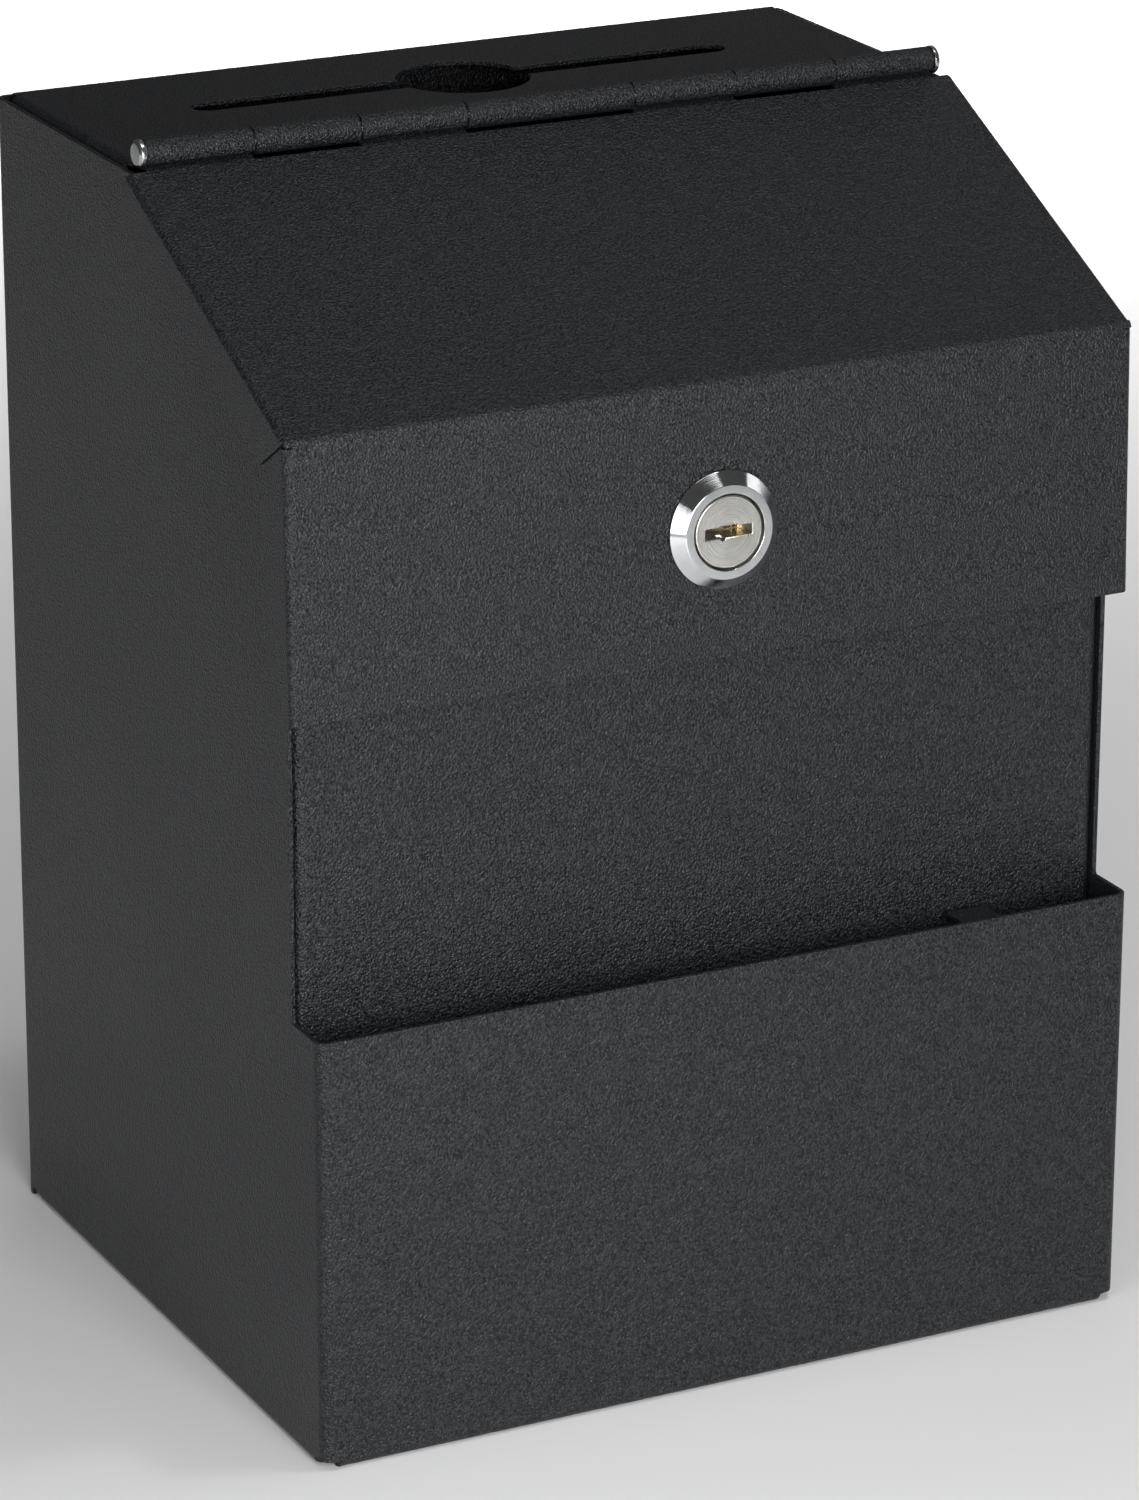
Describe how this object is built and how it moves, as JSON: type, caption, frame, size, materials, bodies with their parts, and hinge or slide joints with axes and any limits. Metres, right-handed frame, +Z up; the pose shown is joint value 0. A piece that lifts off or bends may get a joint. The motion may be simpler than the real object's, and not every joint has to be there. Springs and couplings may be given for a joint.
{
  "type": "donation box",
  "caption": "Steel donation box with a slot and round hole in its top, a sloping lid on a full-width barrel hinge, a cam lock and an open card pocket in front.",
  "frame": {"origin": "middle of the box's footprint, on the plane it stands on", "axes": "+Z up, -Y towards the front with the pocket and the lock, +X to the right of a person facing the front"},
  "size_m": [0.1864, 0.155, 0.2515],
  "materials": {
    "powder_coat": "black fine-texture powder coat, satin",
    "bright_pin": "bare bright drawn steel",
    "chrome_housing": "bright chrome with fine turning lines",
    "satin_plug": "satin nickel plate",
    "brass_wafers": "stamped brass",
    "zinc_fixings": "bright zinc plate"
  },
  "bodies": {
    "box": {"outer_shell": "powder_coat", "top_and_back_panel": "powder_coat", "inner_front_panel": "powder_coat", "bottom_panel": "powder_coat", "pocket_divider": "powder_coat", "hinge_pin": "bright_pin"},
    "lid": {"lid_panel": "powder_coat", "lock_housing": "chrome_housing", "lock_washer": "zinc_fixings", "lock_nut": "zinc_fixings"},
    "lock_core": {"lock_plug": "satin_plug", "lock_wafer_1": "brass_wafers", "lock_wafer_2": "brass_wafers", "lock_wafer_3": "brass_wafers", "lock_wafer_4": "brass_wafers", "lock_wafer_5": "brass_wafers", "lock_spring_1": "zinc_fixings", "lock_spring_2": "zinc_fixings", "lock_spring_3": "zinc_fixings", "lock_spring_4": "zinc_fixings", "lock_spring_5": "zinc_fixings", "lock_stop_washer": "zinc_fixings", "lock_cam": "zinc_fixings", "lock_star_washer": "zinc_fixings", "lock_screw": "zinc_fixings"}
  },
  "joints": [
    {"name": "lid_hinge", "type": "hinge", "parent": "box", "child": "lid", "pos_m": [0, 0.007, 0.2486], "axis": [-1, 0, 0], "range_deg": [0, 170]},
    {"name": "lock_turn", "type": "hinge", "parent": "lid", "child": "lock_core", "pos_m": [0, -0.06974, 0.18083], "axis": [0, 0.9995, -0.0314], "range_deg": [0, 90]}
  ]
}
